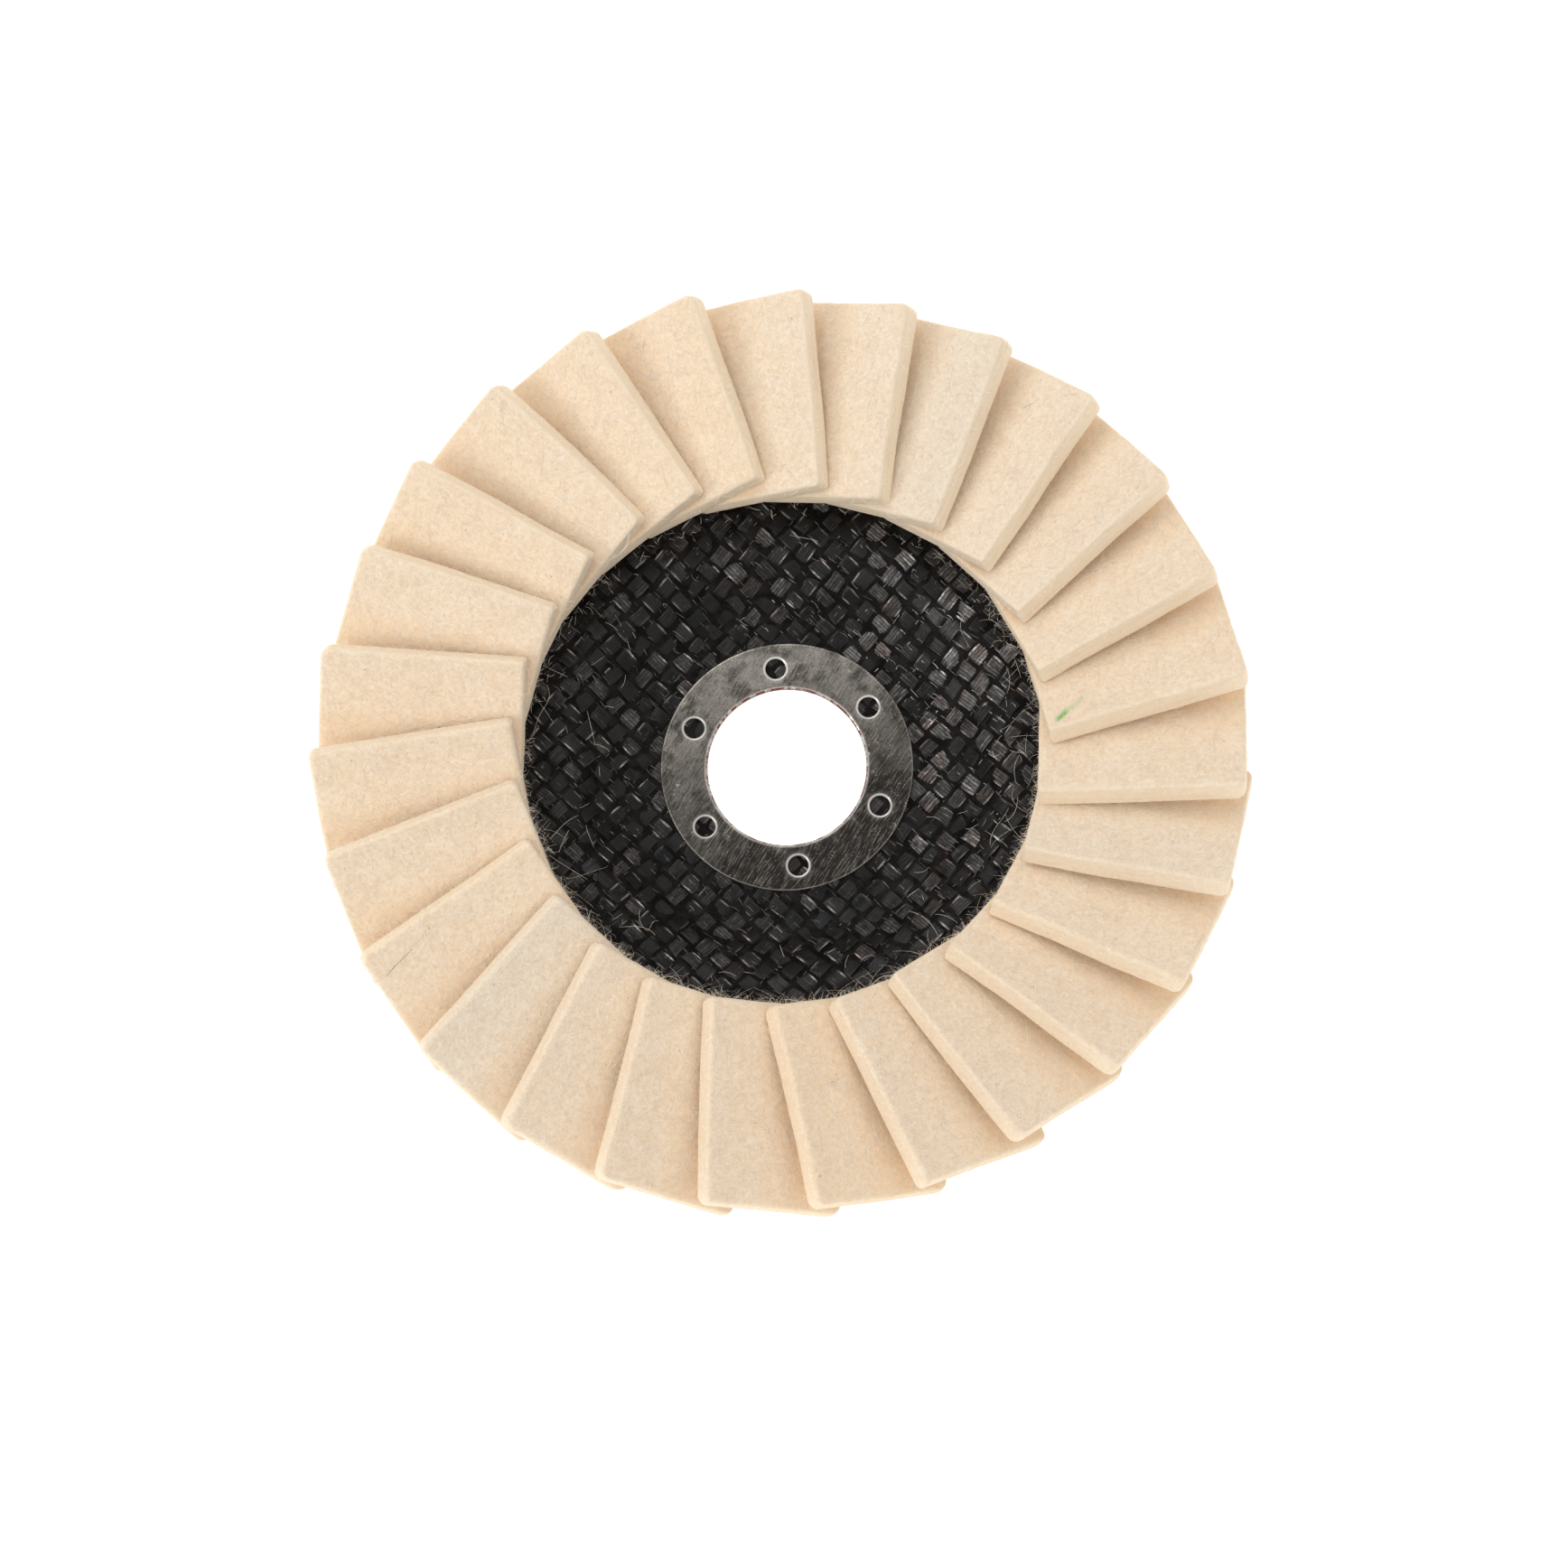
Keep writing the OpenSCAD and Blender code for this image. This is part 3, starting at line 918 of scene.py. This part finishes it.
def disc_layer(name, z, thick, r_in, r_out, ragged, roughen, seed):
    """A closed dished ring of resin with a slightly ragged outer rim."""
    turns = 288
    radii = np.concatenate([np.linspace(r_in, HUB_R, 10)[:-1], np.linspace(HUB_R, SEAT_R, 22)[:-1],
                            np.linspace(SEAT_R, r_out, 16)])
    angle = 2 * np.pi * np.arange(turns) / turns
    rim = ragged * line_noise(angle * r_out, 3.0, seed) + ragged * line_noise(angle * r_out, 0.9, seed + 1)

    def skin(height, side):
        for r in radii:
            rr = r + (rim if r == r_out else 0)
            px, py = rr * np.cos(angle), rr * np.sin(angle)
            pz = height + dish(r) + side * roughen * (plane_noise(px, py, 1.6, seed + 2) - 1)
            yield np.column_stack([px, py, pz])

    upper, lower = list(skin(z + thick, 1)), list(skin(z, -1))
    bulge = 1 + (0.06 + 0.05 * line_noise(angle * r_out, 1.3, seed + 3)) / r_out
    middle = (upper[-1] - UP * thick / 2) * np.column_stack([bulge, bulge, np.ones(turns)])
    rings = [*upper, middle, *lower[::-1]]
    shell = Shell()
    shell.add(np.concatenate(rings), grid_quads(len(rings), turns, True, True))
    return shell.build(name)


def make_plate(looks):
    """The dished plate: resin and yarns of both cloths, and the three glass plies between them."""
    front_z = PLATE_T - CLOTH_T
    dress(disc_layer("front_cloth_resin", front_z, 0.46, COLLAR_R + 0.02, PLATE_R - 0.1, 0.08, 0.045, 300),
          looks["resin"], "woven_cloth", "front_cloth")
    for family, name, seed in ((1, "weft", 700), (0, "warp", 400)):
        for side, half in ((-1, "a"), (1, "b")):
            dress(weave(f"front_cloth_{name}_{half}", family, front_z + 0.24, 12.0, 39.0, 2.22, 10, seed,
                        sides=(side,)), looks[name], "woven_cloth", "front_cloth")
    dress(frayed("front_cloth_filaments", 1500, 910), looks["warp"], "woven_cloth", "front_cloth")
    for k, name in enumerate(("glass_ply_back", "glass_ply_middle", "glass_ply_front")):
        ply = disc_layer(name + "_mesh", BACK_T + k * PLY_T, PLY_T, COLLAR_R, PLATE_R - 0.12,
                         0.09, 0.0, 310 + 10 * k)
        dress(ply, looks["ply"], "glass_ply", name)
    dress(disc_layer("back_cloth_resin", 0.14, 0.26, LIP_R, PLATE_R - 0.1, 0.08, 0.02, 340),
          looks["resin"], "woven_cloth", "back_cloth")
    for family, name, seed in ((1, "weft", 500), (0, "warp", 600)):
        dress(weave(f"back_cloth_{name}", family, 0.22, 12.4, PLATE_R - 0.3, 1.9, 6, seed, -1),
              looks[name], "woven_cloth", "back_cloth")


def make_glue(material):
    """The bead that the flaps' buried edges are set in."""
    turns = 720
    angle = 2 * np.pi * np.arange(turns) / turns
    z0 = PLATE_T + DISH_H
    inner, outer, height = BED_IN, PLATE_R - 1.0, 2.3
    section = [(0.0, 0.0), (0.0, 0.55), (0.03, 0.85), (0.1, 0.98), (0.25, 1.0), (0.5, 1.0), (0.75, 1.0),
               (0.9, 0.97), (0.965, 0.82), (1.0, 0.5), (1.0, 0.0)]
    rings = []
    for n, (a, b) in enumerate(section):
        r = inner + (outer - inner) * a
        lumps = 0.35 * line_noise(angle * r, 3.4, 60 + n // 4)
        lumps = lumps + 0.12 * line_noise(angle * r, 1.3, 70 + n // 4)
        rr = r + {0.0: -0.24, 1.0: 0.6}.get(a, 0) * lumps
        zz = z0 + height * b * (1 + 0.2 * np.minimum(lumps, 0))
        rings.append(np.column_stack([rr * np.cos(angle), rr * np.sin(angle), zz]))
    shell = Shell()
    shell.add(np.concatenate(rings), grid_quads(len(rings), turns, True, True))
    dress(shell.build("adhesive_bead"), material, "adhesive", "adhesive_bed")


# ---- arbor ring

RIM_POINTS = 288
HOLE_POINTS = 48


def circle(radius, count, centre=(0.0, 0.0), phase=0.0):
    a = 2 * np.pi * (np.arange(count) + phase) / count
    return np.column_stack([centre[0] + radius * np.cos(a), centre[1] + radius * np.sin(a)])


def anchor_centres():
    a = np.radians(ANCHOR_ANGLE + 360 / ANCHORS * np.arange(ANCHORS))
    return ANCHOR_PCR * np.column_stack([np.cos(a), np.sin(a)])


def anchor_gap(points):
    """Distance from each point to the nearest anchor hole's centre."""
    return np.min(np.hypot(*(points[:, None] - anchor_centres()[None]).transpose(2, 0, 1)), axis=1)


def pierced_skin(inner, outer, hole_r, inner_bands, outer_bands, hole_bands, spacing):
    """Triangles over a ring with the anchor holes left open, and each open edge's points."""
    loops = [circle(inner, RIM_POINTS), circle(outer, RIM_POINTS)]
    loops += [circle(hole_r, HOLE_POINTS, c) for c in anchor_centres()]
    points = list(loops)
    points += [circle(inner + band, RIM_POINTS, phase=0.5) for band in inner_bands]
    points += [circle(outer - band, RIM_POINTS, phase=0.5) for band in outer_bands]
    points += [circle(hole_r + band, HOLE_POINTS, c, 0.5) for band in hole_bands for c in anchor_centres()]
    clear_in = inner + max(inner_bands, default=0) + 0.6 * spacing
    clear_out = outer - max(outer_bands, default=0) - 0.6 * spacing
    clear_hole = hole_r + max(hole_bands, default=0) + 0.6 * spacing
    radius, odd = clear_in, 0
    while radius < clear_out:
        ring = circle(radius, int(2 * np.pi * radius / spacing), phase=0.5 * odd)
        points.append(ring[anchor_gap(ring) > clear_hole])
        radius, odd = radius + spacing * 0.87, 1 - odd
    flat = np.concatenate(points)
    result = delaunay_2d_cdt([Vector(p) for p in flat], [], [], 0, 1e-6)
    if len(result[0]) != len(flat):
        raise RuntimeError("the ring's points were merged")
    order = np.array([ids[0] for ids in result[3]])
    where = np.array([tuple(p) for p in result[0]])
    tris = np.array([tuple(f) for f in result[2]])
    mid = where[tris].mean(axis=1)
    keep = (np.hypot(*mid.T) > inner) & (np.hypot(*mid.T) < outer)
    keep &= anchor_gap(mid) > hole_r
    back = np.argsort(order)
    starts = np.cumsum([0] + [len(loop) for loop in loops])
    edges = [back[starts[n]:starts[n + 1]] for n in range(len(loops))]
    return where, tris[keep], edges


def make_ring(material):
    """The stamped steel ring: rounded bore lip, pierced anchor holes with spurs, peened collar."""
    flat, tris, edges = pierced_skin(BORE_R, FLANGE_R, ANCHOR_R, (0.03, 0.09, 0.18, 0.3, 0.45, 0.62),
                                     (0.03, 0.08, 0.16, 0.3), (0.03, 0.08, 0.15, 0.24, 0.36), 0.42)
    r = np.hypot(*flat.T)
    gap = anchor_gap(flat) - ANCHOR_R
    z = np.full(len(flat), RING_Z)
    for away, radius in ((r - BORE_R, 0.5), (FLANGE_R - r, 0.16), (gap, 0.24)):
        z -= rounding(away, radius)
    z -= 0.035 * np.exp(-(gap / 0.6) ** 2)
    z += 0.03 * plane_noise(flat[:, 0], flat[:, 1], 8.0, 801) - 0.02
    z += 0.003 * plane_noise(flat[:, 0], flat[:, 1], 1.4, 802)
    # Painted highlight on the rims of the holes, bore and outer edge, patchy along them
    highlight_patchiness = 0.8 + 0.2 * plane_noise(flat[:, 0], flat[:, 1], 2.5, 803)
    rim_shine = np.maximum(np.clip(1.5 - gap / 0.26, 0, 1), np.clip(1.3 - (r - BORE_R) / 0.38, 0, 1))
    rim_shine = np.maximum(rim_shine, np.clip(1.2 - (FLANGE_R - r) / 0.14, 0, 1)) * highlight_patchiness
    under, low_tris, low_edges = pierced_skin(COLLAR_R, FLANGE_R, SPUR_R, (), (), (), 1.2)
    verts = [np.column_stack([flat, z]), np.column_stack([under, np.full(len(under), PLATE_T)])]
    low_start = len(flat)
    faces, count = [], low_start + len(under)

    def ring_at(radius, level, n=RIM_POINTS, centre=(0.0, 0.0), rough=0.0):
        nonlocal count
        verts.append(np.column_stack([circle(radius, n, centre), np.full(n, level) + rough]))
        count += n
        return np.arange(count - n, count)

    def join(loops):
        faces.extend(bridge(a, b) for a, b in zip(loops[:-1], loops[1:]))

    collar = [(BORE_R, level) for level in (2.6, 1.8, 1.0, 0.3, 0.1)]
    collar += [(BORE_R + 0.1, 0.01), (LIP_R - 0.1, 0.01), (LIP_R, 0.08), (COLLAR_R + 0.02, BACK_T),
               (COLLAR_R, 1.2)]
    join([edges[0], *(ring_at(*spot) for spot in collar), low_start + low_edges[0]])
    join([low_start + low_edges[1], ring_at(FLANGE_R, PLATE_T + 0.15), edges[1]])
    for n, centre in enumerate(anchor_centres()):
        torn = 0.12 * np.abs(line_noise(np.arange(HOLE_POINTS) * 0.4, 1.1, 820 + n))
        spur = [ring_at(ANCHOR_R + out, level, HOLE_POINTS, centre, rough) for out, level, rough in
                ((0, 3.15, 0), (0, 2.9, 0), (0.06, SPUR_Z, torn), (0.34, SPUR_Z, torn))]
        join([low_start + low_edges[2 + n], *spur[::-1], edges[2 + n]])
    # The walls, collar and underside take the full painted highlight, as a painted reflection
    shine = np.concatenate([rim_shine, np.ones(count - low_start)])
    shell = Shell()
    shell.add(np.concatenate(verts), np.concatenate(faces),
              np.concatenate([tris, low_start + low_tris[:, ::-1]]), rim=shine)
    dress(shell.build("arbor_ring_steel"), material, "ring_steel", "arbor_ring")


# ---- loose hairs on the cloth

def make_loose_hairs(material):
    """Shed wool on the black cloth: long arcs, short bits and tangles, fewest at the top."""
    rng = np.random.default_rng(77)
    shell = Shell()
    kinds = ((64, (3.0, 8.0), 0.16, 33.5, 4.0), (760, (0.4, 1.8), 0.6, 36.0, 0.9),
             (70, (0.5, 2.6), 0.35, 30.0, 6.0))
    tangles = np.concatenate([rng.uniform(0, 2 * np.pi, 7), np.radians([-58, -40, -24, -12, 6, 28])])
    for n, lengths, tight, middle, spread in kinds:
        m = 14
        dx, dy = curls(rng, n, m, rng.uniform(*lengths, n), tight)
        angle = rng.uniform(0, 2 * np.pi, n)
        bunch = rng.random(n) < 0.35
        angle = np.where(bunch, rng.choice(tangles, n) + rng.normal(0, 0.07, n), angle)
        radius = middle + spread * np.clip(rng.normal(0, 0.6, n), -1.2, 1.0)
        x = (radius * np.cos(angle))[:, None] + dx
        y = (radius * np.sin(angle))[:, None] + dy
        r = np.hypot(x, y)
        keep = (r.max(axis=1) < 38.0) & (r.min(axis=1) > 18.8)
        keep &= rng.random(n) > np.clip(1.6 * np.sin(angle) - 0.7, 0, 0.9)
        arch = taper(m, 0, 1) * rng.random((n, 1)) ** 2
        z = PLATE_T + dish(r) + 0.03 + 0.3 * arch
        radii = rng.uniform(0.012, 0.026, (n, 1)) * taper(m, 0.3, 0.4)
        tubes(shell, np.stack([x, y, z], axis=2)[keep], radii[keep], sides=4, pale=0.85)
    dress(shell.build("loose_wool"), material, "wool_felt")


# ---- camera, light and floor

def make_camera():
    """A long lens above the disc, leaning towards -Y and a little towards +X."""
    lean, swing = math.radians(12.2), math.radians(3.1)
    distance = 0.95
    back = Vector((math.sin(swing) * math.cos(lean), -math.sin(lean), math.cos(swing) * math.cos(lean)))
    up = (Vector((0, 1, 0)) - back * back.y).normalized()
    right = up.cross(back)
    aim = Vector((0, 0, RING_Z * MM)) - right * 0.00038 - up * 0.00246
    data = bpy.data.cameras.new("camera")
    data.sensor_width = 36
    data.lens = 155.97
    data.clip_start = 0.01
    obj = add_object("camera", data)
    turn = Matrix((right, up, back)).transposed().to_4x4()
    obj.matrix_world = Matrix.Translation(aim + back * distance) @ turn
    bpy.context.scene.camera = obj


def area_light(name, place, size, watts, colour):
    """A round soft light that points at the disc."""
    data = bpy.data.lights.new(name, "AREA")
    data.shape = "DISK"
    data.size = size
    data.energy = watts
    data.color = colour
    obj = add_object(name, data)
    obj.location = place
    obj.rotation_euler = (Vector((0, 0, 0.01)) - Vector(place)).to_track_quat("-Z", "Y").to_euler()


def make_studio():
    """Soft light all round, dim overhead, with the main light from the left, and the floor."""
    world = bpy.data.worlds.new("studio")
    bpy.context.scene.world = world
    world.use_nodes = True
    tree = world.node_tree
    sky = put(tree, "TexCoord").outputs["Generated"]
    height = put(tree, "SeparateXYZ", {0: sky}).outputs["Z"]
    ramp = put(tree, "ValToRGB", {0: height})
    stops = ((0.0, 0.4), (0.45, 0.6), (0.72, 1.0), (0.89, 1.05), (0.97, 0.3))
    while len(ramp.color_ramp.elements) < len(stops):
        ramp.color_ramp.elements.new(0.5)
    for element, (level, light) in zip(ramp.color_ramp.elements, stops):
        element.position = level
        element.color = (light, light * 0.992, light * 0.98, 1)
    back = tree.nodes["Background"]
    tree.links.new(ramp.outputs[0], back.inputs["Color"])
    back.inputs["Strength"].default_value = 1.06
    area_light("key", (-0.76, -0.32, 0.58), 0.4, 1.9, (1, 0.985, 0.96))
    area_light("top", (-0.35, 0.6, 0.75), 0.5, 1.0, (1, 0.99, 0.98))
    floor = Shell()
    side = np.linspace(-FLOOR_HALF, FLOOR_HALF, 9)
    x, y = np.meshgrid(side, side, indexing="ij")
    floor.add(np.stack([x, y, np.zeros_like(x)], axis=2), grid_quads(9, 9), smooth=False)
    obj = floor.build("studio_floor")
    obj.data.materials.append(floor_look())
    bpy.context.scene.view_settings.view_transform = "Standard"


# ---- the disc

make_camera()
make_studio()
felt = felt_look()
make_flaps(felt)
make_plate({"resin": resin_look(), "ply": ply_look(),
            "warp": yarn_look("black_warp", WEAVE_ANGLE), "weft": yarn_look("black_weft", WEAVE_ANGLE + 90)})
make_glue(glue_look())
make_ring(steel_look())
make_loose_hairs(felt)
